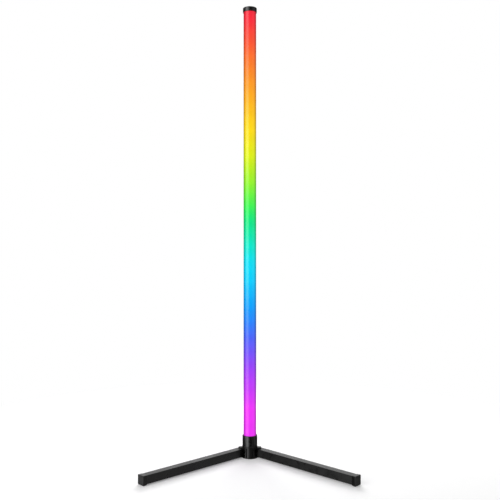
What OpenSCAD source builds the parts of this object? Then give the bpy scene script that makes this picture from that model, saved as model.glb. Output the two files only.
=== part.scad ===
// Corner floor lamp. A full-height light tube stands in a collar on a small hub, and two
// square legs run forward from the hub at a right angle, one along each wall of a corner.
// Each leg folds on an upright pivot pin between the hub body and the base plate.
// Millimetres, +Z up. The origin is on the floor under the tube's axis. The legs point
// towards -Y, and the power inlet faces +Y.

/* [Overall] */
// Height from the floor to the top of the cap
overall_h = 1200; // [400:10:1800]
// Gap between pieces that move past each other
move_gap = 0.3; // [0.2:0.05:0.5]
// Gap all round between pieces that slide together when the lamp is put together
fit_gap = 0.1; // [0.05:0.05:0.15]
// Gap all round the pivot pin in its bush
running_gap = 0.05; // [0.02:0.01:0.1]

/* [Light tube] */
// Outside diameter of the light tube
tube_d = 33.8; // [32:0.2:40]
// Wall of the light tube
tube_wall = 1.5; // [1:0.1:2.2]
// Length of each end plug inside the tube
plug_spigot_l = 12; // [9:0.5:20]
// Thickness of the bottom plug's flange under the tube
plug_flange_t = 1.5; // [1:0.1:3]
// Thickness of the gasket under the bottom plug
gasket_t = 1; // [0.5:0.1:2]

/* [Core bar and light strips] */
// Width of the core bar's web and flanges together
core_w = 22; // [18:0.5:24]
// Thickness of the core bar's web
core_web_t = 2.4; // [1.6:0.1:3]
// Thickness of each of the core bar's flanges
core_flange_t = 1.5; // [1:0.1:2]
// Width of the core bar's flanges, front to back
core_flange_w = 7.2; // [6:0.2:9]
// Depth of the core bar's seat in each end plug
core_seat_l = 8; // [4:0.5:8.5]
// Width of a light strip
strip_w = 10; // [8:0.5:12]
// Thickness of a light strip
strip_t = 0.4; // [0.2:0.05:0.8]
// Bare end of the core bar above and below each strip, past the end plugs
strip_margin = 1; // [0.5:0.5:10]
// Side of a light source on the strip
led_side = 5; // [3:0.5:6]
// Thickness of a light source
led_t = 1.5; // [0.8:0.1:1.8]
// Distance between light sources
led_pitch = 33.3; // [16:0.1:60]
// Least distance from the strip's ends to its first and last light source
led_margin = 16; // [10:1:40]

/* [Top cap] */
// Height of the top cap
cap_h = 12; // [8:0.5:20]
// Side wall of the top cap
cap_wall = 1.65; // [1.2:0.05:3]
// Thickness of the top cap's roof
cap_roof_t = 3; // [2.8:0.1:5]
// Radius of the top cap's upper edge
cap_edge_r = 1.5; // [1:0.1:2.5]

/* [Collar] */
// Height of the collar
collar_h = 28; // [22:1:40]
// Side wall of the collar
collar_wall = 2.75; // [2.4:0.05:3.5]
// Floor of the collar's socket
collar_floor_t = 4; // [3.5:0.5:6]
// Bevel round the collar's upper and lower edges
collar_bevel = 0.6; // [0.3:0.1:1]
// Diameter of the set screw that clamps the tube
set_screw_d = 4; // [3:0.5:5]
// Height of the set screw above the collar's lower edge
set_screw_h = 19; // [14:1:19]
// Socket size of the set screw, across flats
set_screw_key = 2; // [1.5:0.1:2.5]

/* [Hub] */
// Step from the collar out to the hub body
hub_step = 0.5; // [0.2:0.1:1.5]
// Bevel round the hub body's upper edge
hub_bevel = 0.8; // [0.4:0.1:1.2]
// Thickness of the ears over the leg roots
ear_t = 3.4; // [3:0.1:5]
// Radius of the ears round the pivot pins
ear_r = 6.5; // [6.2:0.1:9]
// Height of the hub body above the ears
neck_h = 4; // [2:0.5:8]
// Width of the flat post between the two flutes
post_w = 14; // [10:0.5:16]
// Width of each flute
flute_w = 3.2; // [1.5:0.1:3.4]
// Width of each shoulder that stands out of the column behind a leg root's heel
shoulder_w = 1.2; // [0.6:0.1:1.8]
// Depth of each flute
flute_depth = 3; // [1:0.1:3.2]
// Width of the pocket inside the hub body
pocket_w = 19; // [18.6:0.1:19.6]
// Thickness of the pocket's front wall at the middle of the post
pocket_front_t = 6.75; // [6.4:0.05:7]
// Thickness of the pocket's rear wall, from the inlet's flat face to the pocket
pocket_rear_t = 5.5; // [5:0.1:5.8]
// Thickness of the pocket's roof
pocket_roof_t = 9.5; // [8:0.1:10]
// Diameter of the wire hole up into the tube
wire_hole_d = 10; // [10:0.1:11]

/* [Base plate] */
// Diameter of the round base plate
base_d = 42.7; // [42:0.1:46]
// Thickness of the base plate
base_plate_t = 1.8; // [1.8:0.1:3]
// Bevel round the base plate's upper edge
base_bevel = 0.5; // [0.2:0.1:0.8]
// Radius of the base plate's ears under the pivot pins
base_ear_r = 7; // [5:0.1:9]
// Thickness of the soft pad under the base plate
base_pad_t = 0.5; // [0.5:0.1:2]
// Distance from the base plate's edge in to its pad
base_pad_inset = 0.6; // [0.2:0.1:1]

/* [Legs] */
// Side of the square leg tube
leg_side = 21; // [19:0.5:22]
// Wall of the leg tube
leg_wall = 1.5; // [1:0.1:2]
// Radius of the leg tube's outer corners
leg_corner_r = 1.2; // [1:0.1:3]
// Distance from the pivot pin to the leg's outer end
leg_reach = 326; // [200:1:500]
// Angle of each leg out from straight ahead, in use
leg_angle = 45; // [35:1:50]
// Distance between the two pivot pins
pivot_spacing = 48; // [47:0.5:50]
// Length of the leg root inside the leg tube
root_spigot_l = 35; // [31:1:60]
// Length of the heel that stops the leg in its place in use
heel_l = 8; // [4:0.5:9]
// Bevel round the knuckle's upper and lower edges
knuckle_bevel = 0.8; // [0.3:0.1:1.2]

/* [Pivots] */
// Diameter of a pivot pin
pin_d = 6; // [5:0.1:6.4]
// Depth of the pin's seat in the ear
pin_ear_seat = 2.4; // [1.5:0.1:2.6]
// Depth of the pin's seat in the base plate
pin_base_seat = 1.5; // [1:0.1:1.6]
// Wall of the bush round the pin
bush_wall = 1; // [0.8:0.1:1.2]
// Diameter of a friction washer
washer_d = 12; // [10:0.1:12]
// Thickness of a friction washer
washer_t = 1; // [0.5:0.1:1.5]
// Part of the moving gap that the washer fills
washer_stand = 0.2; // [0.1:0.01:0.2]

/* [Leg end caps] */
// Length of the end cap outside the leg tube
end_flange_l = 10; // [6:0.5:20]
// Length of the end cap inside the leg tube
end_spigot_l = 16; // [8:1:30]
// Wall of the end cap's hollow spigot
end_spigot_wall = 2; // [1.2:0.1:3]
// Radius of the end cap's outer edges
end_edge_r = 1; // [0.6:0.1:3]
// Distance that the end cap stands out past the sides and the top of the leg tube
end_flange_proud = 0.5; // [0:0.1:1]
// Thickness of the foot pad under the end cap
foot_pad_t = 1; // [0.5:0.1:2]
// Distance from the end cap's edges in to its foot pad
foot_pad_inset = 1.8; // [1:0.1:2.5]

/* [Screws] */
// Thread diameter of the screws in the hub
hub_screw_d = 3; // [2.5:0.1:3]
// Head diameter of the collar screws
hub_screw_head_d = 5.5; // [5:0.1:6]
// Head height of the collar screws
hub_screw_head_h = 2.2; // [1.5:0.1:2.4]
// Length of the collar screws under the head
collar_screw_l = 13; // [12:0.1:13]
// Distance between the two collar screws
collar_screw_spacing = 17.6; // [17:0.1:18]
// Length of the base plate screws
base_screw_l = 10; // [6:0.5:12]
// Head diameter of the base plate screws
base_screw_head_d = 6; // [5:0.1:6]
// Thread diameter of the leg screws
leg_screw_d = 4; // [3:0.1:5]
// Head diameter of the leg screws
leg_screw_head_d = 7; // [6:0.1:8]
// Head height of the leg screws
leg_screw_head_h = 2; // [1:0.1:2.2]
// Length of the leg screws under the head
leg_screw_l = 9; // [6:0.5:12]
// Distance from the pivot pin to the first leg screw
leg_screw_from = 22; // [18:0.5:24]
// Distance between the leg screws
leg_screw_pitch = 14; // [9:0.5:16]

/* [Power inlet] */
// Thread diameter of the jack
jack_d = 8; // [7.6:0.1:9]
// Bore of the jack
jack_bore_d = 5.7; // [5.5:0.1:6]
// Depth of the jack's bore
jack_bore_l = 11.2; // [9:0.1:12]
// Diameter of the jack's centre pin
jack_pin_d = 2.1; // [1.6:0.1:2.5]
// Distance from the jack's face in to the tip of its centre pin
jack_pin_inset = 0.7; // [0.3:0.1:2]
// Diameter of the jack's flange inside the hub
jack_flange_d = 11; // [10:0.1:11]
// Thickness of the jack's flange
jack_flange_t = 1.5; // [1:0.1:2]
// Diameter of the jack's body inside the hub
jack_body_d = 9.6; // [9:0.1:9.8]
// Length of the jack's body behind the flange
jack_body_l = 7; // [6.5:0.1:7]
// Size of the jack's nut, across flats
jack_nut_af = 11; // [10.5:0.1:12]
// Thickness of the jack's nut
jack_nut_t = 2.2; // [1.5:0.1:2.4]
// Chamfer round the outer face of the jack's nut
jack_nut_bevel = 0.8; // [0.4:0.1:0.8]
// Distance that the jack's thread stands past its nut
jack_stand = 0.5; // [0.2:0.1:1]
// Diameter of the flat face round the jack
jack_flat_d = 15; // [14.5:0.1:16]

/* [Controller] */
// Width of the controller board
board_w = 18; // [17.6:0.1:18.2]
// Height of the controller board
board_h = 14.5; // [14.4:0.1:15]
// Thickness of the controller board
board_t = 1.2; // [0.8:0.1:1.4]
// Height of the bosses that hold the board off the pocket's wall
boss_h = 2; // [1.8:0.1:2.2]
// Diameter of the board's bosses
boss_d = 4; // [3.6:0.1:4.2]
// Distance between the board's screws
board_screw_spacing = 13.8; // [13.4:0.1:14]
// Thread diameter of the board's screws
board_screw_d = 2; // [1.6:0.1:2]
// Length of the board's screws under the head
board_screw_l = 4; // [3.8:0.1:4.2]
// Depth of a wire connector, out from the board
connector_depth = 4; // [3.6:0.1:4]
// Height of a wire connector
connector_h = 3.5; // [3:0.1:3.5]
// Diameter of a power wire
power_wire_d = 1.2; // [1:0.1:1.4]
// Diameter of a light strip's wire
led_wire_d = 1; // [0.8:0.1:1]
// Distance between a light strip's wires
led_wire_pitch = 1.2; // [1.1:0.1:1.2]
// Radius of the bend where a light strip's wire turns up, on its centre line
led_wire_bend = 2; // [1.5:0.1:2]

/* [Hidden] */

// Facets round a large piece, a middling one, a small one and a wire
$fn = 96;
mid_fn = 64;
small_fn = 32;
wire_fn = 24;
// A cut reaches this far past the surface that it opens
over = 1;
// The radius of a corner that would otherwise be sharp
least_corner_r = 0.3;
// A key socket goes this share of the way into its screw head
key_share = 0.6;
// Bevel round the top of a pan screw's head
pan_bevel = 0.3;

// Heights, from the floor up
base_plate_z = base_pad_t;
hub_z = base_plate_z + base_plate_t;
leg_z = hub_z + move_gap;
leg_mid_z = leg_z + leg_side / 2;
leg_top_z = leg_z + leg_side;
ear_z = leg_top_z + move_gap;
neck_z = ear_z + ear_t;
collar_z = neck_z + neck_h;
socket_z = collar_z + collar_floor_t;
plug_z = socket_z + gasket_t;
tube_z = plug_z + plug_flange_t;
tube_top_z = overall_h - cap_roof_t;
core_z = tube_z + plug_spigot_l - core_seat_l;
core_top_z = tube_top_z - plug_spigot_l + core_seat_l;
strip_z = tube_z + plug_spigot_l + strip_margin;
strip_top_z = tube_top_z - plug_spigot_l - strip_margin;
led_gaps = floor((strip_top_z - strip_z - 2 * led_margin) / led_pitch);
led_first_z = (strip_z + strip_top_z - led_gaps * led_pitch) / 2;

// The tube and what goes round it
tube_r = tube_d / 2;
tube_inner_r = tube_r - tube_wall;
plug_r = tube_inner_r - fit_gap;
cap_inner_r = tube_r + fit_gap;
cap_r = cap_inner_r + cap_wall;
socket_r = tube_r + fit_gap;
collar_r = socket_r + collar_wall;
hub_r = collar_r + hub_step;
base_r = base_d / 2;
wire_hole_r = wire_hole_d / 2;
// The set screw's tip lies this far off the tube, and its other end this far in
set_screw_tip_gap = 0.02;
set_screw_inset = 0.3;
set_screw_y = tube_r + set_screw_tip_gap;
set_screw_l = collar_r - set_screw_y - set_screw_inset;
collar_screw_key = 2.5;

// Legs and pivots
pivot_x = pivot_spacing / 2;
knuckle_r = leg_side / 2;
column_half_w = pivot_x - knuckle_r - move_gap;
// The heels sweep this far round the pivots, and the shoulders start outside their path
heel_sweep_r = sqrt(pow(knuckle_r, 2) + pow(heel_l, 2)) + move_gap;
shoulder_half_w = column_half_w + shoulder_w;
shoulder_y = sqrt(pow(heel_sweep_r, 2) - pow(pivot_x - shoulder_half_w, 2));
// The leg tube starts this far past the knuckle
leg_tube_start = 0.5;
leg_tube_from = knuckle_r + leg_tube_start;
leg_tube_to = leg_reach - end_flange_l;
leg_inner_side = leg_side - 2 * leg_wall;
leg_inner_corner_r = max(leg_corner_r - leg_wall, least_corner_r);
spigot_side = leg_inner_side - 2 * fit_gap;
leg_screw_key = 3;
foot_pad_corner_r = 1;
pin_r = pin_d / 2;
pin_z = hub_z - pin_base_seat;
pin_top_z = ear_z + pin_ear_seat;
bush_inner_r = pin_r + running_gap;
bush_r = bush_inner_r + bush_wall;
washer_seat = washer_t - washer_stand;
washer_seat_r = washer_d / 2 + fit_gap;

// The pocket in the hub body, with the jack and the board in it
pocket_front_y = -(hub_r - pocket_front_t);
// The jack's face lies this far in from the hub body's rearmost point
jack_recess = 0.05;
jack_flat_y = hub_r - jack_nut_t - jack_stand - jack_recess;
pocket_rear_y = jack_flat_y - pocket_rear_t;
pocket_top_z = collar_z - pocket_roof_t;
jack_z = leg_mid_z;
jack_r = jack_d / 2;
jack_face_y = jack_flat_y + jack_nut_t + jack_stand;
jack_bore_y = jack_face_y - jack_bore_l;
jack_flange_y = pocket_rear_y - jack_flange_t;
jack_back_y = jack_flange_y - jack_body_l;
// The centre pin's root goes this far into the jack's body
jack_root_l = 3;
jack_root_extra_d = 1;
jack_root_d = jack_pin_d + jack_root_extra_d;
jack_tab = [2, 3.5, 0.4];
jack_tab_x = 1.8;
jack_tab_drop = 1.8;
jack_tab_z = jack_z - jack_tab_drop;
board_y = pocket_front_y + boss_h;
board_face_y = board_y + board_t;
connector_face_y = board_face_y + connector_depth;
// Height of the board above the base plate
board_lift = 1;
board_z = hub_z + board_lift;
board_top_z = board_z + board_h;
// The board's screws and the strips' connectors lie this far below its upper edge
board_screw_drop = 3;
led_connector_drop = 3.2;
board_screw_z = board_top_z - board_screw_drop;
board_screw_head_d = 3.8;
board_screw_head_h = 1.2;
board_screw_key = 1.2;
led_connector_w = 4.6;
led_connector_x = 2.6;
led_connector_z = board_top_z - led_connector_drop;
power_connector_w = 6;
// Controller chip, at the middle of the board, this far above its lower edge
chip_size = [5, 1, 5];
chip_lift = 0.2;
// Driver chip and capacitor, one on each side, this far out and up
driver_size = [3, 1, 4];
capacitor_d = 4;
capacitor_l = 5;
side_part_x = 6.3;
side_part_lift = 4.2;

// The light strips' wires
led_wire_r = led_wire_d / 2;
// Gap between a strip and its wires, and how far up the strip they end
led_wire_gap = 0.05;
led_wire_lap = 4;
led_wire_y = core_web_t / 2 + strip_t + led_wire_r + led_wire_gap;
led_wire_top_z = strip_z + led_wire_lap;

// Screw circle of the base plate, and the front screw's place in the post
// The rear screws lie this far in from the column's round side and from its flat sides
base_screw_inset = 2.5;
base_screw_side_inset = 3.2;
base_screw_key = 2;
base_screw_circle_r = hub_r - base_screw_inset;
base_screw_x = column_half_w - base_screw_side_inset;
base_screw_y = sqrt(pow(base_screw_circle_r, 2) - pow(base_screw_x, 2));
base_screw_front_y = (pocket_front_y - hub_r) / 2;
base_screw_spots = [
    [0, base_screw_front_y], [-base_screw_x, base_screw_y], [base_screw_x, base_screw_y]
];

flute_x = (post_w + flute_w) / 2;
flute_bottom_y = -sqrt(pow(hub_r, 2) - pow(flute_x, 2)) + flute_depth;

BLACK = [0.09, 0.09, 0.10];
SOFT_BLACK = [0.05, 0.05, 0.05];
STEEL = [0.72, 0.73, 0.75];
ALUMINIUM = [0.80, 0.81, 0.83];
BRASS = [0.80, 0.65, 0.30];
WHITE = [0.95, 0.95, 0.95];
BOARD_GREEN = [0.05, 0.35, 0.20];
// The tube's glow, from the bottom up
GLOW = [
    [1.0, 0.3, 1.0], [0.5, 0.35, 1.0], [0.1, 0.6, 1.0], [0.0, 0.9, 0.9],
    [0.3, 0.95, 0.2], [1.0, 0.95, 0.1], [1.0, 0.55, 0.1], [1.0, 0.2, 0.25]
];

// ---- Shapes that repeat ----

module rounded_rect(w, h, r) {
    union() {
        square([w - 2 * r, h], center = true);
        square([w, h - 2 * r], center = true);
        for (sx = [-1, 1], sy = [-1, 1])
            translate([sx * (w / 2 - r), sy * (h / 2 - r)]) circle(r = r, $fn = small_fn);
    }
}

// A disc with a bevel round its upper edge
module bevelled_disc(r, h, bevel) {
    cylinder(r = r, h = h - bevel);
    translate([0, 0, h - bevel]) cylinder(r1 = r, r2 = r - bevel, h = bevel);
}

// A disc with a bevel round both edges
module twice_bevelled_disc(r, h, bevel) {
    cylinder(r1 = r - bevel, r2 = r, h = bevel);
    translate([0, 0, bevel]) bevelled_disc(r, h - bevel, bevel);
}

// A flat bar across both pivot pins, with round ends
module pivot_bar(r, h) {
    linear_extrude(h) union() {
        square([pivot_spacing, 2 * r], center = true);
        for (side = [-1, 1])
            translate([side * pivot_x, 0]) circle(r = r);
    }
}

// A screw along +Z, with its head below z = 0 and a hexagonal key socket in the head
module pan_screw(d, l, head_d, head_h, key) {
    difference() {
        union() {
            cylinder(d = d, h = l, $fn = small_fn);
            mirror([0, 0, 1]) bevelled_disc(head_d / 2, head_h, pan_bevel);
        }
        translate([0, 0, -head_h - over])
            cylinder(d = key, h = over + head_h * key_share, $fn = 6);
    }
}

// A screw along +Z with a countersunk head, whose flat face is at z = 0
module countersunk_screw(d, l, head_d, key) {
    cone_h = (head_d - d) / 2;
    difference() {
        union() {
            cylinder(d1 = head_d, d2 = d, h = cone_h, $fn = small_fn);
            translate([0, 0, cone_h]) cylinder(d = d, h = l - cone_h, $fn = small_fn);
        }
        translate([0, 0, -over]) cylinder(d = key, h = over + cone_h * key_share, $fn = 6);
    }
}

// The hole that a countersunk screw fills
module countersunk_hole(d, l, head_d) {
    cone_h = (head_d - d) / 2;
    cylinder(d1 = head_d, d2 = d, h = cone_h, $fn = small_fn);
    cylinder(d = d, h = l, $fn = small_fn);
}

// The core bar's section: a web across the tube with a flange on each side
module core_section(gap) {
    union() {
        square([core_w, core_web_t + 2 * gap], center = true);
        for (side = [-1, 1])
            translate([side * (core_w - core_flange_t) / 2, 0])
                square([core_flange_t + 2 * gap, core_flange_w + 2 * gap], center = true);
    }
}

// ---- Light tube ----

// The tube is drawn in bands, because the colour of its glow changes with height
module light_tube() {
    band_h = (tube_top_z - tube_z) / len(GLOW);
    difference() {
        for (band = [0:len(GLOW) - 1])
            color(GLOW[band])
                translate([0, 0, tube_z + band * band_h]) cylinder(r = tube_r, h = band_h);
        translate([0, 0, tube_z - over])
            cylinder(r = tube_inner_r, h = tube_top_z - tube_z + 2 * over);
    }
}

module top_cap() {
    color(SOFT_BLACK) translate([0, 0, overall_h - cap_h]) rotate_extrude() difference() {
        union() {
            square([cap_r, cap_h - cap_edge_r]);
            square([cap_r - cap_edge_r, cap_h]);
            translate([cap_r - cap_edge_r, cap_h - cap_edge_r])
                intersection() {
                    circle(r = cap_edge_r, $fn = mid_fn);
                    square(cap_edge_r);
                }
        }
        translate([0, -over]) square([cap_inner_r, cap_h - cap_roof_t + over]);
    }
}

module tube_top_plug() {
    color(WHITE) translate([0, 0, tube_top_z - plug_spigot_l]) difference() {
        cylinder(r = plug_r, h = plug_spigot_l);
        translate([0, 0, -over]) linear_extrude(core_seat_l + over) core_section(fit_gap);
    }
}

module tube_bottom_plug() {
    color(WHITE) translate([0, 0, plug_z]) difference() {
        union() {
            cylinder(r = tube_r, h = plug_flange_t);
            cylinder(r = plug_r, h = plug_flange_t + plug_spigot_l);
        }
        translate([0, 0, -over])
            cylinder(r = wire_hole_r, h = plug_flange_t + plug_spigot_l + 2 * over);
        translate([0, 0, core_z - plug_z])
            linear_extrude(core_seat_l + over) core_section(fit_gap);
    }
}

module socket_gasket() {
    color(SOFT_BLACK) translate([0, 0, socket_z]) difference() {
        cylinder(r = tube_r, h = gasket_t);
        translate([0, 0, -over]) cylinder(r = tube_inner_r - tube_wall, h = gasket_t + 2 * over);
    }
}

module core_bar() {
    color(ALUMINIUM) translate([0, 0, core_z])
        linear_extrude(core_top_z - core_z) core_section(0);
}

// side is -1 for the strip on the web's front face and 1 for the one on its rear face
module led_strip(side) {
    color(WHITE) translate([0, side * (core_web_t + strip_t) / 2, strip_z])
        linear_extrude(strip_top_z - strip_z) square([strip_w, strip_t], center = true);
}

module front_led_strip() {
    led_strip(-1);
}

module rear_led_strip() {
    led_strip(1);
}

module led_row(side) {
    led_y = side * (core_web_t / 2 + strip_t + led_t / 2);
    color(WHITE) for (place = [0:led_gaps])
        translate([0, led_y, led_first_z + place * led_pitch])
            cube([led_side, led_t, led_side], center = true);
}

module front_leds() {
    led_row(-1);
}

module rear_leds() {
    led_row(1);
}

// ---- Collar ----

module collar_screw_spots() {
    for (side = [-1, 1])
        translate([0, side * collar_screw_spacing / 2, pocket_top_z]) children();
}

module collar() {
    color(BLACK) difference() {
        translate([0, 0, collar_z]) twice_bevelled_disc(collar_r, collar_h, collar_bevel);
        translate([0, 0, socket_z]) cylinder(r = socket_r, h = collar_h);
        translate([0, 0, collar_z - over]) cylinder(r = wire_hole_r, h = collar_h);
        collar_screw_spots() cylinder(d = hub_screw_d, h = collar_screw_l, $fn = small_fn);
        translate([0, 0, collar_z + set_screw_h]) rotate([-90, 0, 0])
            cylinder(d = set_screw_d, h = collar_r + over, $fn = small_fn);
    }
}

module collar_screws() {
    color(STEEL) collar_screw_spots()
        pan_screw(hub_screw_d, collar_screw_l, hub_screw_head_d, hub_screw_head_h,
                  collar_screw_key);
}

module collar_set_screw() {
    color(STEEL) translate([0, set_screw_y, collar_z + set_screw_h]) rotate([-90, 0, 0])
        difference() {
            cylinder(d = set_screw_d, h = set_screw_l, $fn = small_fn);
            translate([0, 0, set_screw_l * (1 - key_share)])
                cylinder(d = set_screw_key, h = set_screw_l, $fn = 6);
        }
}

// ---- Hub ----

module hub_column() {
    translate([0, 0, hub_z]) intersection() {
        cylinder(r = hub_r, h = ear_z - hub_z);
        union() {
            translate([-column_half_w, -hub_r, 0])
                cube([2 * column_half_w, 2 * hub_r, ear_z - hub_z]);
            // Rear shoulders, so that no light shows between the column and the heels
            translate([-shoulder_half_w, shoulder_y, 0])
                cube([2 * shoulder_half_w, hub_r, ear_z - hub_z]);
        }
    }
}

module board_screw_spots(y) {
    for (side = [-1, 1])
        translate([side * board_screw_spacing / 2, y, board_screw_z]) rotate([90, 0, 0])
            children();
}

module hub_body() {
    color(BLACK) difference() {
        union() {
            difference() {
                union() {
                    hub_column();
                    translate([0, 0, ear_z]) pivot_bar(ear_r, ear_t);
                    translate([0, 0, ear_z])
                        bevelled_disc(hub_r, collar_z - ear_z, hub_bevel);
                }
                // Flutes beside the front post
                for (side = [-1, 1])
                    translate([side * flute_x - flute_w / 2, -hub_r - over, hub_z - over])
                        cube([flute_w, hub_r + over + flute_bottom_y, neck_z - hub_z + over]);
                // Pocket, open at the bottom
                translate([-pocket_w / 2, pocket_front_y, hub_z - over])
                    cube([pocket_w, pocket_rear_y - pocket_front_y, pocket_top_z - hub_z + over]);
            }
            board_screw_spots(board_y) cylinder(d = boss_d, h = boss_h + over, $fn = small_fn);
        }
        board_screw_spots(board_face_y)
            cylinder(d = board_screw_d, h = board_screw_l, $fn = small_fn);
        translate([0, 0, hub_z]) cylinder(r = wire_hole_r, h = collar_z - hub_z + over);
        collar_screw_spots()
            cylinder(d = hub_screw_d + 2 * fit_gap, h = pocket_roof_t + over, $fn = small_fn);
        for (side = [-1, 1])
            translate([side * pivot_x, 0, ear_z - over])
                cylinder(r = pin_r, h = pin_ear_seat + over);
        for (spot = base_screw_spots)
            translate([spot[0], spot[1], base_plate_z])
                cylinder(d = hub_screw_d, h = base_screw_l, $fn = small_fn);
        // Flat face and hole for the jack
        translate([0, jack_flat_y, jack_z]) rotate([-90, 0, 0])
            cylinder(d = jack_flat_d, h = hub_r, $fn = mid_fn);
        translate([0, 0, jack_z]) rotate([-90, 0, 0])
            cylinder(r = jack_r + fit_gap, h = hub_r + over, $fn = mid_fn);
    }
}

module base_plate() {
    color(BLACK) difference() {
        union() {
            translate([0, 0, base_plate_z]) bevelled_disc(base_r, base_plate_t, base_bevel);
            translate([0, 0, base_plate_z]) pivot_bar(base_ear_r, base_plate_t);
        }
        for (side = [-1, 1])
            translate([side * pivot_x, 0, pin_z])
                cylinder(r = pin_r, h = pin_base_seat + over);
        for (spot = base_screw_spots)
            translate([spot[0], spot[1], base_plate_z])
                countersunk_hole(hub_screw_d, base_screw_l, base_screw_head_d);
    }
}

module base_plate_screws() {
    color(STEEL) for (spot = base_screw_spots)
        translate([spot[0], spot[1], base_plate_z])
            countersunk_screw(hub_screw_d, base_screw_l, base_screw_head_d, base_screw_key);
}

module base_pad() {
    color(SOFT_BLACK) cylinder(r = base_r - base_pad_inset, h = base_pad_t);
}

// ---- Power inlet ----

// Turns a shape drawn along +Z to run along +Y from the given place on the jack's axis
module along_jack(y) {
    translate([0, y, jack_z]) rotate([-90, 0, 0]) children();
}

module dc_jack() {
    color(SOFT_BLACK) difference() {
        union() {
            along_jack(jack_back_y)
                cylinder(d = jack_body_d, h = jack_body_l, $fn = mid_fn);
            along_jack(jack_flange_y)
                cylinder(d = jack_flange_d, h = jack_flange_t, $fn = mid_fn);
            along_jack(pocket_rear_y)
                cylinder(r = jack_r, h = jack_face_y - pocket_rear_y, $fn = mid_fn);
        }
        along_jack(jack_bore_y)
            cylinder(d = jack_bore_d, h = jack_bore_l + over, $fn = mid_fn);
        along_jack(jack_bore_y - jack_root_l)
            cylinder(d = jack_root_d, h = jack_root_l, $fn = small_fn);
    }
}

module jack_nut() {
    nut_corner_r = jack_nut_af / 2 / cos(30);
    color(STEEL) along_jack(jack_flat_y) difference() {
        intersection() {
            cylinder(r = nut_corner_r, h = jack_nut_t, $fn = 6);
            bevelled_disc(nut_corner_r, jack_nut_t, jack_nut_bevel);
        }
        translate([0, 0, -over]) cylinder(r = jack_r, h = jack_nut_t + 2 * over, $fn = mid_fn);
    }
}

module jack_contacts() {
    color(BRASS) {
        along_jack(jack_bore_y - jack_root_l)
            cylinder(d = jack_root_d, h = jack_root_l, $fn = small_fn);
        along_jack(jack_bore_y)
            cylinder(d = jack_pin_d, h = jack_bore_l - jack_pin_inset, $fn = mid_fn);
        for (side = [-1, 1])
            translate([side * jack_tab_x - jack_tab[0] / 2, jack_back_y - jack_tab[1],
                       jack_tab_z - jack_tab[2] / 2])
                cube(jack_tab);
    }
}

// ---- Controller ----

module controller_board() {
    color(BOARD_GREEN) difference() {
        translate([-board_w / 2, board_y, board_z]) cube([board_w, board_t, board_h]);
        board_screw_spots(board_face_y + over)
            cylinder(d = board_screw_d, h = board_t + 2 * over, $fn = small_fn);
    }
}

module board_screws() {
    color(STEEL) board_screw_spots(board_face_y)
        pan_screw(board_screw_d, board_screw_l, board_screw_head_d, board_screw_head_h,
                  board_screw_key);
}

module board_chips() {
    side_part_z = board_z + side_part_lift;
    color(SOFT_BLACK) {
        translate([-chip_size[0] / 2, board_face_y, board_z + chip_lift]) cube(chip_size);
        translate([-side_part_x - driver_size[0] / 2, board_face_y, side_part_z])
            cube(driver_size);
        translate([side_part_x, board_face_y, side_part_z]) rotate([-90, 0, 0])
            cylinder(d = capacitor_d, h = capacitor_l, $fn = small_fn);
    }
}

module connector(x, z, w) {
    translate([x - w / 2, board_face_y, z - connector_h / 2])
        cube([w, connector_depth, connector_h]);
}

module board_connectors() {
    color(WHITE) {
        connector(0, jack_tab_z, power_connector_w);
        for (side = [-1, 1])
            connector(side * led_connector_x, led_connector_z, led_connector_w);
    }
}

module power_wires() {
    wire_end_y = jack_back_y - jack_tab[1];
    color("firebrick") for (side = [-1, 1])
        translate([side * jack_tab_x, connector_face_y, jack_tab_z]) rotate([-90, 0, 0])
            cylinder(d = power_wire_d, h = wire_end_y - connector_face_y, $fn = wire_fn);
}

// One wire from a connector on the board, back along +Y, round a bend and up the tube
module led_wire(x, side) {
    turn_y = side * led_wire_y - led_wire_bend;
    turn_z = led_connector_z + led_wire_bend;
    translate([x, connector_face_y, led_connector_z]) rotate([-90, 0, 0])
        cylinder(r = led_wire_r, h = turn_y - connector_face_y, $fn = wire_fn);
    translate([x, turn_y, turn_z]) rotate([90, 0, 90]) rotate([0, 0, -90])
        rotate_extrude(angle = 90, $fn = mid_fn)
            translate([led_wire_bend, 0]) circle(r = led_wire_r, $fn = wire_fn);
    translate([x, side * led_wire_y, turn_z])
        cylinder(r = led_wire_r, h = led_wire_top_z - turn_z, $fn = wire_fn);
}

module led_wires() {
    color("gainsboro") for (side = [-1, 1], place = [-1:1])
        led_wire(side * led_connector_x + place * led_wire_pitch, side);
}

// ---- Pivot pins ----

module pivot_pin() {
    color(STEEL) translate([pivot_x, 0, pin_z]) cylinder(r = pin_r, h = pin_top_z - pin_z);
}

module left_pivot_pin() {
    mirror([1, 0, 0]) pivot_pin();
}

module right_pivot_pin() {
    pivot_pin();
}

// ---- Legs ----
// A leg's piece is drawn about its pivot pin, running straight ahead along -Y, with its
// inner side towards -X. leg() turns it out to the right leg's place in use, and the left
// leg's pieces are its mirror image.

module leg() {
    translate([pivot_x, 0, 0]) rotate([0, 0, leg_angle]) children();
}

// Runs a section drawn about the leg's centre line along the leg
module along_leg(from, to) {
    translate([0, -from, leg_mid_z]) rotate([90, 0, 0]) linear_extrude(to - from) children();
}

module leg_screw_spots() {
    for (place = [0, 1])
        translate([0, -leg_screw_from - place * leg_screw_pitch, leg_z]) children();
}

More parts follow.
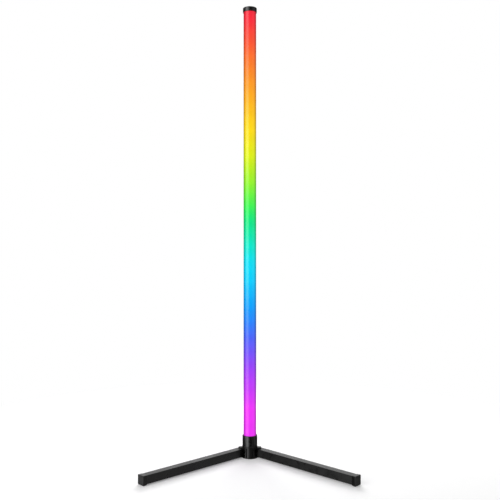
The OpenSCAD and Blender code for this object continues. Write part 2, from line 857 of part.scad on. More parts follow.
module leg_root() {
    color(BLACK) leg() difference() {
        union() {
            translate([0, 0, leg_z]) twice_bevelled_disc(knuckle_r, leg_side, knuckle_bevel);
            along_leg(0, leg_tube_from) rounded_rect(leg_side, leg_side, leg_corner_r);
            // Heel, whose flat side stands against the hub's column in use
            rotate([0, 0, -leg_angle]) translate([-knuckle_r, 0, leg_z + knuckle_bevel])
                cube([knuckle_r, heel_l, leg_side - 2 * knuckle_bevel]);
            along_leg(leg_tube_from - over, leg_tube_from + root_spigot_l)
                rounded_rect(spigot_side, spigot_side, leg_inner_corner_r);
        }
        translate([0, 0, leg_z - over]) cylinder(r = bush_r, h = leg_side + 2 * over);
        translate([0, 0, leg_z - over]) cylinder(r = washer_seat_r, h = washer_seat + over);
        translate([0, 0, leg_top_z - washer_seat])
            cylinder(r = washer_seat_r, h = washer_seat + over);
        leg_screw_spots() cylinder(d = leg_screw_d, h = leg_screw_l, $fn = small_fn);
    }
}

module pivot_bush() {
    color(BRASS) leg() translate([0, 0, leg_z + washer_seat]) difference() {
        cylinder(r = bush_r, h = leg_side - 2 * washer_seat);
        translate([0, 0, -over]) cylinder(r = bush_inner_r, h = leg_side + 2 * over);
    }
}

module pivot_washers() {
    washer_zs = [leg_z - washer_stand, leg_top_z - washer_seat];
    color(WHITE) leg() for (z = washer_zs)
        translate([0, 0, z]) difference() {
            cylinder(d = washer_d, h = washer_t);
            translate([0, 0, -over]) cylinder(r = bush_inner_r + fit_gap, h = washer_t + 2 * over);
        }
}

module leg_tube() {
    color(BLACK) leg() difference() {
        along_leg(leg_tube_from, leg_tube_to) rounded_rect(leg_side, leg_side, leg_corner_r);
        along_leg(leg_tube_from - over, leg_tube_to + over)
            rounded_rect(leg_inner_side, leg_inner_side, leg_inner_corner_r);
        leg_screw_spots() translate([0, 0, -over])
            cylinder(d = leg_screw_d + 2 * fit_gap, h = leg_wall + 2 * over, $fn = small_fn);
    }
}

module leg_screws() {
    color(STEEL) leg() leg_screw_spots()
        pan_screw(leg_screw_d, leg_screw_l, leg_screw_head_d, leg_screw_head_h, leg_screw_key);
}

// The block outside the tube has all its outer edges rounded, and stands on the foot pad
module end_cap_block() {
    w = leg_side + 2 * end_flange_proud;
    top_z = leg_top_z + end_flange_proud;
    h = top_z - foot_pad_t;
    mid_z = foot_pad_t + h / 2;
    mid_y = -(leg_tube_to + leg_reach) / 2;
    // Each section is drawn this much longer on the tube's side, to keep that end square
    square_end = end_edge_r;
    intersection() {
        translate([0, -leg_tube_to, mid_z]) rotate([90, 0, 0])
            linear_extrude(end_flange_l) rounded_rect(w, h, end_edge_r);
        translate([0, mid_y + square_end / 2, 0])
            linear_extrude(top_z)
                rounded_rect(w, end_flange_l + square_end, end_edge_r);
        translate([-w / 2, mid_y + square_end / 2, mid_z]) rotate([90, 0, 90])
            linear_extrude(w)
                rounded_rect(end_flange_l + square_end, h, end_edge_r);
    }
}

module end_cap() {
    spigot_inner = spigot_side - 2 * end_spigot_wall;
    color(SOFT_BLACK) leg() difference() {
        union() {
            end_cap_block();
            along_leg(leg_tube_to - end_spigot_l, leg_tube_to)
                rounded_rect(spigot_side, spigot_side, leg_inner_corner_r);
        }
        along_leg(leg_tube_to - end_spigot_l - over, leg_tube_to)
            rounded_rect(spigot_inner, spigot_inner, leg_inner_corner_r);
    }
}

module foot_pad() {
    pad_w = leg_side - 2 * foot_pad_inset;
    pad_l = end_flange_l - 2 * foot_pad_inset;
    color(SOFT_BLACK) leg() translate([0, -(leg_tube_to + leg_reach) / 2, 0])
        linear_extrude(foot_pad_t) rounded_rect(pad_w, pad_l, foot_pad_corner_r);
}

module left_leg_root() {
    mirror([1, 0, 0]) leg_root();
}

module right_leg_root() {
    leg_root();
}

module left_pivot_bush() {
    mirror([1, 0, 0]) pivot_bush();
}

module right_pivot_bush() {
    pivot_bush();
}

module left_pivot_washers() {
    mirror([1, 0, 0]) pivot_washers();
}

module right_pivot_washers() {
    pivot_washers();
}

module left_leg_tube() {
    mirror([1, 0, 0]) leg_tube();
}

module right_leg_tube() {
    leg_tube();
}

module left_leg_screws() {
    mirror([1, 0, 0]) leg_screws();
}

module right_leg_screws() {
    leg_screws();
}

module left_end_cap() {
    mirror([1, 0, 0]) end_cap();
}

module right_end_cap() {
    end_cap();
}

module left_foot_pad() {
    mirror([1, 0, 0]) foot_pad();
}

module right_foot_pad() {
    foot_pad();
}

light_tube();
top_cap();
tube_top_plug();
tube_bottom_plug();
socket_gasket();
core_bar();
front_led_strip();
rear_led_strip();
front_leds();
rear_leds();
collar();
collar_screws();
collar_set_screw();
hub_body();
base_plate();
base_plate_screws();
base_pad();
dc_jack();
jack_nut();
jack_contacts();
controller_board();
board_chips();
board_connectors();
board_screws();
power_wires();
led_wires();
left_pivot_pin();
right_pivot_pin();
left_leg_root();
right_leg_root();
left_pivot_bush();
right_pivot_bush();
left_pivot_washers();
right_pivot_washers();
left_leg_tube();
right_leg_tube();
left_leg_screws();
right_leg_screws();
left_end_cap();
right_end_cap();
left_foot_pad();
right_foot_pad();
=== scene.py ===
import math

import bmesh
import bpy
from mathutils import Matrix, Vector


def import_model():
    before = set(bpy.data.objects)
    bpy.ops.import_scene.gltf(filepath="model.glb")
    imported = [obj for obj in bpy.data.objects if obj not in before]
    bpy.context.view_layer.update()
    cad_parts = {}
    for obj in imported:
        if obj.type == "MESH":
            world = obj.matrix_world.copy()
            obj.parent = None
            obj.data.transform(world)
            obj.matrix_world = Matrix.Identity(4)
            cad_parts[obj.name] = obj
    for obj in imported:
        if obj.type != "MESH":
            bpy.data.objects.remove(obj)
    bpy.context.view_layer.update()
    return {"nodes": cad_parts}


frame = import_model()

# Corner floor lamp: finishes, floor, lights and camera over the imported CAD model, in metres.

MM = 0.001
LAMP_H = 1200 * MM
TUBE_R = 16.9 * MM
# From the middle of the lamp to each leg's pivot, and from the pivot to the leg's far end
PIVOT_X = 24 * MM
LEG_REACH = 326 * MM
# The light sources on the strips: from one to the next, and the side of one
LED_PITCH = 33.3 * MM
LED_SIDE = 5 * MM


def heights(name):
    """The lowest and the highest point of a CAD node."""
    found = [corner.co.z for corner in frame["nodes"][name].data.vertices]
    return min(found), max(found)


FIRST_LED_Z = heights("front_leds")[0] + LED_SIDE / 2
COLLAR_TOP_Z = heights("collar")[1]


# ---- Node graphs ----


class Graph:
    """The node tree of a material or world, with a short call for each kind of node used here."""

    def __init__(self, owner):
        owner.use_nodes = True
        self.tree = owner.node_tree
        self.tree.nodes.clear()
        self._where = None

    def link(self, source, target):
        self.tree.links.new(source, target)

    def put(self, target, value):
        """Links a socket to target, or sets it to a number or colour."""
        if isinstance(value, bpy.types.NodeSocket):
            self.link(value, target)
        else:
            target.default_value = value

    def node(self, kind, inputs=(), **props):
        """A new node. inputs gives its sockets by name or place, and props its settings."""
        made = self.tree.nodes.new("ShaderNode" + kind)
        for name, value in props.items():
            setattr(made, name, value)
        for place, value in dict(inputs).items():
            self.put(made.inputs[place], value)
        return made

    def where(self):
        """The point on the object, in metres, in the frame of its body at rest."""
        if self._where is None:
            self._where = self.node("TexCoord").outputs["Object"]
        return self._where

    def axis(self, letter):
        """The X, Y or Z of the point on the object."""
        return self.node("SeparateXYZ", {0: self.where()}).outputs[letter]

    def math(self, operation, *values):
        return self.node("Math", enumerate(values), operation=operation).outputs[0]

    def plus(self, a, b):
        return self.math("ADD", a, b)

    def minus(self, a, b):
        return self.math("SUBTRACT", a, b)

    def times(self, a, b):
        return self.math("MULTIPLY", a, b)

    def shares(self, a, share_a, b, share_b):
        """Two values, each times its share, added."""
        return self.plus(self.times(a, share_a), self.times(b, share_b))

    def swing(self, noise, reach):
        """A texture from 0 to 1 brought about zero, half of reach to each side."""
        return self.times(self.minus(noise, 0.5), reach)

    def vector(self, operation, *values):
        """A node that works on vectors. Its outputs are Vector and Value."""
        return self.node("VectorMath", enumerate(values), operation=operation)

    def stretched(self, x, y, z):
        """The point with its axes scaled, so that a texture is drawn out along the smallest."""
        return self.vector("MULTIPLY", self.where(), (x, y, z)).outputs["Vector"]

    def span(self, value, low, high, to_low=0.0, to_high=1.0, smooth=True):
        """Takes low..high to to_low..to_high, and stays level past both ends."""
        kind = "SMOOTHSTEP" if smooth else "LINEAR"
        inputs = {0: value, 1: low, 2: high, 3: to_low, 4: to_high}
        return self.node("MapRange", inputs, interpolation_type=kind).outputs[0]

    def noise(self, size_mm, detail, vector=None, rough=0.5):
        """Clouds from 0 to 1, about size_mm across."""
        inputs = {"Vector": vector or self.where(), "Scale": 1 / (size_mm * MM)}
        inputs.update({"Detail": detail, "Roughness": rough})
        return self.node("TexNoise", inputs).outputs["Fac"]

    def cells(self, size_mm, vector=None, feature="F1"):
        """Grains about size_mm across."""
        inputs = {"Vector": vector or self.where(), "Scale": 1 / (size_mm * MM)}
        return self.node("TexVoronoi", inputs, feature=feature).outputs["Distance"]

    def mix(self, factor, a, b, blend="MIX"):
        """Mixes two colours. The node's colour sockets are inputs 6 and 7 and output 2."""
        inputs = {0: factor, 6: a, 7: b}
        return self.node("Mix", inputs, data_type="RGBA", blend_type=blend).outputs[2]

    def ramp(self, factor, stops, ease="LINEAR"):
        made = self.node("ValToRGB", {0: factor})
        band = made.color_ramp
        band.interpolation = ease
        while len(band.elements) > 1:
            band.elements.remove(band.elements[-1])
        for place, (at, colour) in enumerate(stops):
            step = band.elements[0] if place == 0 else band.elements.new(at)
            step.position = at
            step.color = colour
        return made.outputs[0]

    def bump(self, height, depth_mm, strength, normal=None):
        """The normal over a height from 0 to 1 that stands for depth_mm."""
        inputs = {"Height": height, "Distance": depth_mm * MM, "Strength": strength}
        if normal is not None:
            inputs["Normal"] = normal
        return self.node("Bump", inputs).outputs[0]

    def softened(self, radius_mm):
        """The normal, rounded within about radius_mm of an outer edge."""
        return self.node("Bevel", {"Radius": radius_mm * MM}, samples=6).outputs[0]

    def edge(self, soft):
        """0 on flat faces, up to 1 where the softened normal turns away from the true one."""
        true = self.node("NewGeometry").outputs["Normal"]
        return self.span(self.vector("DOT_PRODUCT", soft, true).outputs["Value"], 0.995, 0.8)


class Finish(Graph):
    """A material, with one Principled shader on its output."""

    def __init__(self, name):
        self.material = bpy.data.materials.new(name)
        super().__init__(self.material)
        self.out = self.node("OutputMaterial")
        self.shader = self.node("BsdfPrincipled")
        self.link(self.shader.outputs[0], self.out.inputs[0])

    def set(self, **values):
        """Sets the shader's sockets: base_color=..., sheen_weight=... and so on."""
        for name, value in values.items():
            title = "IOR" if name == "ior" else name.replace("_", " ").title()
            self.put(self.shader.inputs[title], value)


def grey(level, warm=0.0):
    """A grey, or a warm one, with more red and less blue by the share warm."""
    return (level * (1 + warm), level, level * (1 - warm), 1.0)


def dimmed(colour, share):
    return tuple(part * share for part in colour[:3]) + (1.0,)


def srgb(colour):
    """A colour given as the eye sees it, 0 to 255, as Blender's linear one."""
    def linear(level):
        level /= 255
        return level / 12.92 if level <= 0.04045 else ((level + 0.055) / 1.055) ** 2.4
    return tuple(linear(level) for level in colour) + (1.0,)


# ---- The light tube ----

# The glow's colours from the bottom up: height in mm, and the lit wall there
GLOW = [
    (0, (245, 55, 250)),
    (130, (240, 50, 250)),
    (240, (155, 65, 250)),
    (320, (75, 100, 250)),
    (400, (0, 160, 255)),
    (470, (0, 205, 255)),
    (520, (0, 220, 240)),
    (560, (0, 230, 205)),
    (630, (10, 230, 130)),
    (670, (65, 245, 85)),
    (730, (145, 240, 45)),
    (800, (220, 240, 20)),
    (870, (255, 220, 20)),
    (1040, (255, 130, 40)),
    (1160, (250, 45, 60)),
    (1200, (240, 35, 60)),
]
GLOW_STRENGTH = 0.865
# The light that reaches the wall's flanks, as a share of what its front gets
FLANK_SHARE = 0.5
# How much the wall's light rises and falls with the light sources behind it
SPOT = 0.012
# The wall's colour in outside light, as a share of the glow's: painted glow, the glow's colours and
# dimmer flanks put in the base colour
GLOW_IN_WALL_SHARE = 0.2
# The height of the handling marks above the collar
RUB_H = 12 * MM


def glow_stops():
    """The glow's colours and the ones halfway between them, which keeps the run even to the eye.

    That makes 31 stops, and a ramp holds 32.
    """
    stops = []
    for (low, colour), (high, following) in zip(GLOW, GLOW[1:]):
        halfway = [(a + b) / 2 for a, b in zip(colour, following)]
        stops += [(low, colour), ((low + high) / 2, halfway)]
    stops.append(GLOW[-1])
    return [(height * MM / LAMP_H, srgb(colour)) for height, colour in stops]


def diffuser():
    """The opal wall: lit from within, a little hazy, dimmer at its flanks."""
    g = Finish("diffuser")
    z = g.axis("Z")
    glow = g.ramp(g.span(z, 0.0, LAMP_H, smooth=False), glow_stops())
    # The strips face front and rear, so the wall beside the core bar's edges gets less light
    facing = g.math("DIVIDE", g.math("ABSOLUTE", g.axis("Y")), TUBE_R)
    lit = g.span(facing, 0.36, 0.86, FLANK_SHARE, 1.0)
    # Faint bright spots where the light sources lie behind the wall
    wave = g.math("COSINE", g.times(g.minus(z, FIRST_LED_Z), 2 * math.pi / LED_PITCH))
    spots = g.plus(g.times(wave, SPOT), 1 - SPOT)
    # The wall's own haze: cloudy at hand's breadth, streaked along the draw
    cloud = g.span(g.noise(60, 2), 0.3, 0.7, 0.97, 1.02)
    streaks = g.noise(1.2, 4, g.stretched(1, 1, 0.02))
    shade = g.times(g.times(g.times(lit, spots), cloud), g.span(streaks, 0.2, 0.8, 0.985, 1.01))
    bright = g.node("CombineXYZ", {0: shade, 1: shade, 2: shade}).outputs[0]
    shown = g.mix(1.0, glow, bright, "MULTIPLY")
    # Handling marks where the tube goes into the collar
    rubbed = g.span(z, COLLAR_TOP_Z, COLLAR_TOP_Z + RUB_H, 1.0, 0.0)
    rough = g.plus(g.span(g.noise(25, 4), 0.3, 0.7, 0.31, 0.37), g.times(rubbed, 0.06))
    # The base colour is the glow's, dimmer at the flanks: painted glow, not the opal wall's own
    # colour
    g.set(base_color=g.mix(1 - GLOW_IN_WALL_SHARE, shown, grey(0)), roughness=rough, ior=1.41)
    g.set(emission_color=shown, emission_strength=GLOW_STRENGTH, normal=g.bump(streaks, 0.01, 0.5))
    return g.material


# ---- Black pieces ----

# How much light the end caps' polished rim, painted darker as shade, and matt face scatter, and
# where one becomes the other
SHADED_RIM = 0.002
FACE = 0.017
RIM_END = LEG_REACH - 0.6 * MM
FACE_START = LEG_REACH - 0.1 * MM


def paint(name, base, rough, ior, peel_mm, edge_wear_and_highlight):
    """Black powder coat: orange peel, fine grit, a little dust and rubbed outer edges, lighter where
    worn and as a painted highlight.
    """
    g = Finish(name)
    soft = g.softened(0.5)
    grit = g.noise(0.35, 3, rough=0.6)
    rubbed = g.times(g.edge(soft), g.span(g.noise(6, 4, rough=0.65), 0.42, 0.68))
    dust = g.span(g.cells(2.2), 0.0, 0.12, 1.0, 0.0)
    patches = g.span(g.noise(45, 3), 0.35, 0.65)
    body = g.mix(patches, grey(base * 0.8), grey(base * 1.2, 0.02))
    body = g.mix(g.times(g.span(grit, 0.55, 0.8), 0.35), body, grey(base * 2.2))
    # Rubbed edges turn lighter: worn paint, and a painted highlight along the edges as well
    body = g.mix(g.times(rubbed, edge_wear_and_highlight), body, grey(0.11, 0.02))
    body = g.mix(g.times(dust, 0.10), body, grey(0.10, 0.03))
    gloss = g.span(g.noise(18, 4, rough=0.6), 0.3, 0.7, rough - 0.05, rough + 0.05)
    gloss = g.plus(g.minus(gloss, g.times(rubbed, 0.08)), g.swing(grit, 0.12))
    height = g.shares(g.noise(peel_mm, 2), 0.7, grit, 0.3)
    g.set(base_color=body, roughness=gloss, ior=ior, normal=g.bump(height, 0.07, 0.8, soft))
    return g.material


def plastic_black(g, base):
    """The colour of moulded black plastic, with its faint flow marks."""
    flow = g.span(g.noise(12, 3, g.stretched(1, 1, 0.35)), 0.3, 0.7)
    return g.mix(flow, grey(base * 0.85), grey(base * 1.2))


def moulded(name, base, rough, ior, grain_mm, depth_mm, edge_mm):
    """Moulded black plastic with an eroded mould's fine grain, and polished edges that are painted
    lighter as a highlight.
    """
    g = Finish(name)
    soft = g.softened(edge_mm)
    edge = g.edge(soft)
    fine = g.noise(0.2, 2)
    # The edges are painted lighter: a painted highlight. Their polish is the lower roughness below
    body = g.mix(g.times(edge, 0.25), plastic_black(g, base), grey(base * 2.5))
    gloss = g.span(g.noise(9, 4), 0.3, 0.7, rough - 0.04, rough + 0.04)
    gloss = g.minus(g.plus(gloss, g.swing(fine, 0.1)), g.times(edge, 0.08))
    height = g.shares(g.cells(grain_mm, feature="SMOOTH_F1"), 0.8, fine, 0.2)
    g.set(base_color=body, roughness=gloss, ior=ior, normal=g.bump(height, depth_mm, 0.6, soft))
    return g.material


def end_plastic():
    """A leg's end cap: its face has a matt grain, and its rim is polished and painted darker as
    shade.
    """
    g = Finish("end_plastic")
    soft = g.softened(0.35)
    # How far out a point lies along its leg, which runs at 45 degrees from its pivot
    outward = g.minus(g.math("ABSOLUTE", g.axis("X")), PIVOT_X)
    along = g.times(g.minus(outward, g.axis("Y")), math.sqrt(0.5))
    face = g.span(along, RIM_END, FACE_START)
    fine = g.noise(0.2, 2)
    # The rim's darker colour is painted shade; the face keeps its own matt colour
    body = g.mix(face, plastic_black(g, SHADED_RIM), plastic_black(g, FACE))
    gloss = g.plus(g.span(face, 0.0, 1.0, 0.16, 0.60), g.swing(fine, 0.1))
    grain = g.cells(0.7, feature="SMOOTH_F1")
    height = g.shares(grain, g.span(face, 0.0, 1.0, 0.3, 0.8), fine, 0.2)
    g.set(base_color=body, roughness=gloss, ior=1.35, normal=g.bump(height, 0.03, 0.6, soft))
    return g.material


def rubber():
    """Matt black rubber with fine grit and pale dust."""
    g = Finish("rubber")
    grit = g.noise(0.25, 3)
    dust = g.span(g.noise(7, 4, rough=0.7), 0.5, 0.75)
    body = g.mix(g.times(dust, 0.4), grey(0.016), grey(0.07, 0.04))
    g.set(base_color=body, roughness=g.span(grit, 0.3, 0.7, 0.75, 0.9), ior=1.45)
    g.set(sheen_weight=0.15, normal=g.bump(grit, 0.06, 0.6))
    return g.material


# ---- Metals ----

# How deep the scratches are, beside the brushing
SCRATCH = 0.35


def metal(name, low, high, rough, draw, brush_mm):
    """A machined or drawn metal: brushed along Z, more so with a small draw, with dull spots."""
    g = Finish(name)
    soft = g.softened(0.15)
    brushed = g.noise(brush_mm, 4, g.stretched(1, 1, draw), 0.6)
    spots = g.span(g.noise(2.5, 4, rough=0.65), 0.45, 0.7)
    lines = g.cells(1.4, g.stretched(1, 1, 0.3), "DISTANCE_TO_EDGE")
    lines = g.span(lines, 0.0, 0.02, 1.0, 0.0)
    body = g.mix(g.times(spots, 0.35), g.mix(brushed, low, high), dimmed(low, 0.55))
    gloss = g.plus(g.span(brushed, 0.2, 0.8, rough - 0.06, rough + 0.06), g.times(spots, 0.12))
    gloss = g.plus(gloss, g.times(lines, SCRATCH * 0.3))
    height = g.minus(brushed, g.times(lines, SCRATCH))
    g.set(base_color=body, metallic=1.0, roughness=gloss, normal=g.bump(height, 0.02, 0.5, soft))
    return g.material


# ---- Inside pieces ----

# The edge of a printed or moulded form is this wide
BLUR = 0.1 * MM
# Pads lie in two lanes from this far above and below a light source, and tracks beside them
PAD_START = 13 * MM
LANE_IN = 1.4 * MM
LANE_OUT = 4.0 * MM
TRACK_IN = 4.2 * MM
# A light source's round well, and the three dies side by side in it: each from where, and its colour
WELL_R = 2 * MM
DIE_TOP = 0.4 * MM
DIES_REACH = 1.6 * MM
DIES = [(0.0, (0.9, 0.05, 0.04, 1)), (0.36, (0.05, 0.8, 0.1, 1)), (0.64, (0.05, 0.12, 0.95, 1))]
# The capacitor's can begins here, beside the chips
CAN_X = 4 * MM


def pale_plastic(name, colour, rough, scatter):
    """Pale plastic that scatters light a little way in, with flow marks and a fine grain."""
    g = Finish(name)
    fine = g.noise(0.3, 2)
    body = g.mix(g.span(g.noise(8, 3), 0.3, 0.7), dimmed(colour, 0.86), colour)
    g.set(base_color=body, roughness=g.span(fine, 0.3, 0.7, rough - 0.05, rough + 0.07))
    g.set(subsurface_weight=scatter, subsurface_scale=1.5 * MM, normal=g.bump(fine, 0.02, 0.4))
    return g.material


def above_led(g):
    """How far a point lies above the middle of the nearest light source, or below it."""
    # Some pitches are added so that the sum is above zero, where the remainder is true
    raised = g.plus(g.axis("Z"), LED_PITCH * 4.5 - FIRST_LED_Z)
    return g.minus(g.math("MODULO", raised, LED_PITCH), LED_PITCH * 0.5)


def led_strip():
    """White solder mask, with copper pads between the light sources and tracks along the edges."""
    g = Finish("strip")
    across = g.math("ABSOLUTE", g.axis("X"))
    off = g.math("ABSOLUTE", above_led(g))
    lane = g.times(g.span(across, LANE_IN, LANE_IN + BLUR),
                   g.span(across, LANE_OUT - BLUR, LANE_OUT, 1.0, 0.0))
    pads = g.times(g.span(off, PAD_START, PAD_START + 2 * BLUR), lane)
    tracks = g.times(g.span(across, TRACK_IN, TRACK_IN + BLUR), 0.35)
    mask = g.mix(g.span(g.noise(4, 3), 0.3, 0.7), grey(0.72), grey(0.8, 0.01))
    body = g.mix(tracks, mask, (0.62, 0.60, 0.55, 1.0))
    body = g.mix(pads, body, (0.80, 0.42, 0.22, 1.0))
    g.set(base_color=body, metallic=g.times(pads, 0.9), roughness=g.span(pads, 0, 1, 0.45, 0.3))
    g.set(normal=g.bump(g.minus(1.0, pads), 0.04, 0.8))
    return g.material


def light_source():
    """A white package with a round clear well, which has one red, one green and one blue die."""
    g = Finish("led")
    x = g.axis("X")
    up = above_led(g)
    away = g.math("SQRT", g.plus(g.math("POWER", x, 2.0), g.math("POWER", up, 2.0)))
    well = g.span(away, WELL_R - BLUR, WELL_R, 1.0, 0.0)
    die = g.span(g.math("ABSOLUTE", up), DIE_TOP - BLUR / 2, DIE_TOP, 1.0, 0.0)
    dies = g.ramp(g.span(x, -DIES_REACH, DIES_REACH, smooth=False), DIES, "CONSTANT")
    package = g.mix(g.noise(0.8, 2), grey(0.78), grey(0.86))
    body = g.mix(well, package, (0.85, 0.78, 0.45, 1.0))
    body = g.mix(g.times(well, die), body, dies)
    g.set(base_color=body, roughness=g.span(well, 0, 1, 0.5, 0.12), ior=1.5)
    g.set(emission_color=body, emission_strength=0.6, normal=g.bump(well, 0.2, 0.5))
    return g.material


def board():
    """Green solder mask over tracks, with tinned pads."""
    g = Finish("board")
    bricks = {"Vector": g.stretched(1, 0, 1), "Scale": 260.0, "Mortar Size": 0.06}
    tracks = g.node("TexBrick", bricks).outputs["Fac"]
    pads = g.span(g.cells(3.1), 0.0, 0.10, 1.0, 0.0)
    mask = g.mix(tracks, (0.012, 0.13, 0.055, 1.0), (0.02, 0.22, 0.09, 1.0))
    g.set(base_color=g.mix(pads, mask, grey(0.6)), metallic=g.times(pads, 0.9), roughness=0.35)
    g.set(normal=g.bump(g.plus(tracks, pads), 0.05, 0.7))
    return g.material


def chips():
    """Black epoxy, and the capacitor's aluminium can beside it."""
    g = Finish("chip")
    can = g.span(g.axis("X"), CAN_X, CAN_X + BLUR)
    grain = g.noise(0.15, 3)
    epoxy = g.mix(g.span(grain, 0.3, 0.7), grey(0.012), grey(0.028))
    body = g.mix(can, epoxy, g.mix(g.noise(1.5, 3), grey(0.55), grey(0.66)))
    g.set(base_color=body, metallic=can, roughness=g.span(grain, 0.3, 0.7, 0.4, 0.55))
    g.set(normal=g.bump(grain, 0.03, 0.6))
    return g.material


def wires(name, reach_mm, colours):
    """Insulation coloured by its place across the lamp, with the soft dents of drawn PVC."""
    g = Finish(name)
    across = g.span(g.axis("X"), -reach_mm * MM, reach_mm * MM, smooth=False)
    dents = g.noise(1.8, 3, g.stretched(1, 0.4, 0.4))
    shaded = g.span(dents, 0.3, 0.7, 0.0, 0.25)
    body = g.mix(shaded, g.ramp(across, colours, "CONSTANT"), grey(0.02))
    g.set(base_color=body, roughness=g.span(dents, 0.3, 0.7, 0.38, 0.5))
    g.set(normal=g.bump(dents, 0.03, 0.5))
    return g.material


# ---- The finish of each material slot ----

POWER_WIRES = [(0.0, grey(0.012)), (0.5, (0.42, 0.014, 0.012, 1))]
LED_WIRES = [
    (0.0, grey(0.7)),
    (0.2, (0.45, 0.02, 0.02, 1)),
    (0.36, (0.02, 0.25, 0.05, 1)),
    (0.52, grey(0.7)),
    (0.68, (0.02, 0.05, 0.4, 1)),
    (0.84, grey(0.03)),
]
BRASS_LOW = (0.62, 0.42, 0.16, 1)
BRASS_HIGH = (0.80, 0.60, 0.28, 1)

finishes = [
    diffuser(),
    moulded("cap_plastic", base=0.004, rough=0.30, ior=1.50,
            grain_mm=0.5, depth_mm=0.008, edge_mm=0.35),
    pale_plastic("plug_plastic", grey(0.78, 0.01), rough=0.45, scatter=0.3),
    rubber(),
    metal("aluminium", grey(0.66), grey(0.80), rough=0.34, draw=0.01, brush_mm=0.5),
    led_strip(),
    light_source(),
    paint("hub_paint", base=0.0035, rough=0.38, ior=1.37, peel_mm=1.4, edge_wear_and_highlight=0.4),
    metal("steel", grey(0.46), grey(0.62, -0.01), rough=0.30, draw=0.2, brush_mm=0.4),
    moulded("jack_plastic", base=0.010, rough=0.32, ior=1.50,
            grain_mm=0.6, depth_mm=0.02, edge_mm=0.2),
    metal("brass", BRASS_LOW, BRASS_HIGH, rough=0.28, draw=0.1, brush_mm=0.4),
    board(),
    chips(),
    pale_plastic("connector", (0.78, 0.75, 0.66, 1), rough=0.5, scatter=0.15),
    wires("power_wire", 2.4, POWER_WIRES),
    wires("led_wire", 4.4, LED_WIRES),
    paint("leg_paint", base=0.0036, rough=0.30, ior=1.40, peel_mm=2.0, edge_wear_and_highlight=0.5),
    pale_plastic("nylon", (0.74, 0.72, 0.66, 1), rough=0.4, scatter=0.4),
    end_plastic(),
]
# The collar is painted smoother than the hub below it
collar_paint = paint("collar_paint", base=0.0035, rough=0.30, ior=1.50, peel_mm=1.4, edge_wear_and_highlight=0.4)


def slot_of(material):
    """The slot's name, without the number that Blender puts after a name in use."""
    return material.name.split(".")[0]


by_slot = {slot_of(finish): finish for finish in finishes}
for node in frame["nodes"].values():
    for held in node.material_slots:
        held.material = by_slot[slot_of(held.material)]
frame["nodes"]["collar"].material_slots[0].material = collar_paint


# ---- Floor, world, lights and camera ----

FLOOR_R = 14
# How much white is added to the floor round the lamp, for the camera alone
FLOOR_LIFT = 0.20
# The light that matt surfaces get from all round, and the level of the room that gloss shows
AMBIENT = 0.26
ROOM = 0.02
# Strip lights that gloss shows, front left and front right: the direction from the front and
# the reach to each side, in degrees, and the strength
STRIPS = [(-48, 35, 4.3), (70, 44, 0.55)]
# Area lights: name, place, the point they face, width, height and power in watts
LIGHTS = [
    ("key", (-1.18, -1.22, 0.85), (0, 0, 0.5), 1.2, 1.9, 22),
    ("side", (1.7, -0.2, 0.75), (0, 0, 0.45), 0.6, 1.5, 3),
    ("top", (0.0, 0.75, 2.6), (0, -0.05, 0.0), 1.4, 1.2, 12),
    ("back", (0.0, 2.2, 1.25), (0, 0, 0), 1.8, 1.3, 69),
]
# The camera: its lens and sensor width in mm, its place, and its turns about X and Z in degrees
LENS = 50
SENSOR = 36
EYE = (0.013, -1.8573, 0.5435)
EYE_UP = 90.284
EYE_LEFT = 0.390


def ray_is_seen(g):
    """1 for rays that show the background: camera, glossy and transmission rays."""
    path = g.node("LightPath")
    seen = g.math("MAXIMUM", path.outputs["Is Camera Ray"], path.outputs["Is Glossy Ray"])
    return g.math("MAXIMUM", seen, path.outputs["Is Transmission Ray"])


def camera_ray(g):
    return g.node("LightPath").outputs["Is Camera Ray"]


def floor_finish():
    """Pale and matt with its light and shadow round the lamp, and plain white further out."""
    g = Finish("floor")
    g.set(base_color=grey(0.82), roughness=0.9, ior=1.2)
    lit = g.shader.outputs[0]
    away = g.vector("LENGTH", g.where()).outputs["Value"]
    far = g.span(away, 0.45, 1.1)
    lift = g.node("Emission", {0: grey(1.0), 1: g.times(camera_ray(g), FLOOR_LIFT)}).outputs[0]
    near = g.node("AddShader", {0: lit, 1: lift}).outputs[0]
    white = g.node("Emission", {0: grey(1.0), 1: 1.0}).outputs[0]
    shown = g.node("MixShader", {0: far, 1: near, 2: white}).outputs[0]
    g.link(g.node("MixShader", {0: ray_is_seen(g), 1: lit, 2: shown}).outputs[0], g.out.inputs[0])
    return g.material


def floor():
    mesh = bpy.data.meshes.new("floor")
    shape = bmesh.new()
    bmesh.ops.create_circle(shape, cap_ends=True, radius=FLOOR_R, segments=96)
    shape.to_mesh(mesh)
    shape.free()
    mesh.materials.append(floor_finish())
    made = bpy.data.objects.new("floor", mesh)
    bpy.context.scene.collection.objects.link(made)
    # Just under the feet, so that no two faces lie in one plane
    made.location.z = -0.1 * MM
    # Gloss shows the dim room in the floor's place, so that the black pieces stay black
    made.visible_glossy = False


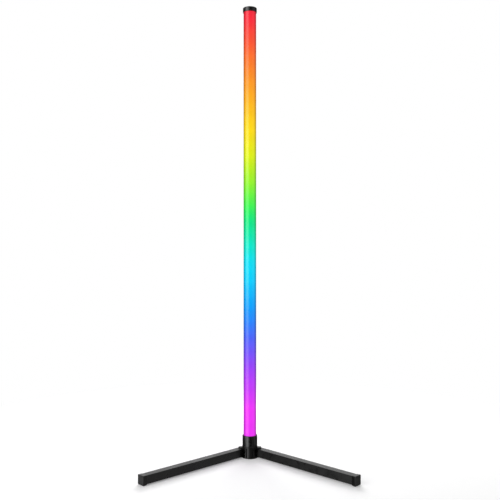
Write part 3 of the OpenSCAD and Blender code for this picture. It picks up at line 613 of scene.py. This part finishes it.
def studio(g):
    """What gloss shows all round: a white sweep behind, a bright ceiling and the strip lights."""
    way = g.node("TexCoord").outputs["Generated"]
    up = g.node("SeparateXYZ", {0: way}).outputs["Z"]
    height = g.math("ABSOLUTE", up)
    level_way = g.vector("MULTIPLY", way, (1, 1, 0)).outputs["Vector"]
    level_way = g.vector("NORMALIZE", level_way).outputs["Vector"]
    rear = g.node("SeparateXYZ", {0: level_way}).outputs["Y"]
    sweep = g.times(g.span(rear, 0.86, 0.96), g.span(height, 0.75, 0.95, 1.0, 0.3))
    level = g.math("MAXIMUM", sweep, g.span(up, 0.55, 0.97, ROOM, 1.4))
    for turn, wide, strength in STRIPS:
        aim = (math.sin(math.radians(turn)), -math.cos(math.radians(turn)), 0)
        near = g.vector("DOT_PRODUCT", level_way, aim).outputs["Value"]
        strip = g.span(near, math.cos(math.radians(wide)), 1.0, 0.0, strength)
        level = g.plus(level, g.times(strip, g.span(height, 0.55, 0.8, 1.0, 0.0)))
    return level


def world():
    """The studio for gloss, an even light for matt surfaces, and plain white for the camera."""
    made = bpy.data.worlds.new("studio")
    bpy.context.scene.world = made
    g = Graph(made)
    seen = ray_is_seen(g)
    reflected = g.shares(seen, studio(g), g.minus(1.0, seen), AMBIENT)
    level = g.math("MAXIMUM", camera_ray(g), reflected)
    back = g.node("Background", {0: grey(1.0), 1: level}).outputs[0]
    g.link(back, g.node("OutputWorld").inputs[0])
    # The world isn't sampled as a light, since that would give gloss a level other than its own
    made.cycles.sampling_method = "NONE"


def softbox(name, place, target, width, height, power):
    """An area light. Gloss shows the world's strip lights in its place."""
    light = bpy.data.lights.new(name, "AREA")
    light.shape = "RECTANGLE"
    light.size = width
    light.size_y = height
    light.energy = power
    made = bpy.data.objects.new(name, light)
    bpy.context.scene.collection.objects.link(made)
    made.location = place
    made.rotation_euler = (Vector(target) - Vector(place)).to_track_quat("-Z", "Y").to_euler()
    made.visible_camera = False
    made.visible_glossy = False


def camera():
    lens = bpy.data.cameras.new("camera")
    lens.lens = LENS
    lens.sensor_width = SENSOR
    made = bpy.data.objects.new("camera", lens)
    bpy.context.scene.collection.objects.link(made)
    made.location = EYE
    made.rotation_euler = (math.radians(EYE_UP), 0, math.radians(EYE_LEFT))
    bpy.context.scene.camera = made


floor()
world()
for light in LIGHTS:
    softbox(*light)
camera()
bpy.context.scene.view_settings.view_transform = "Standard"
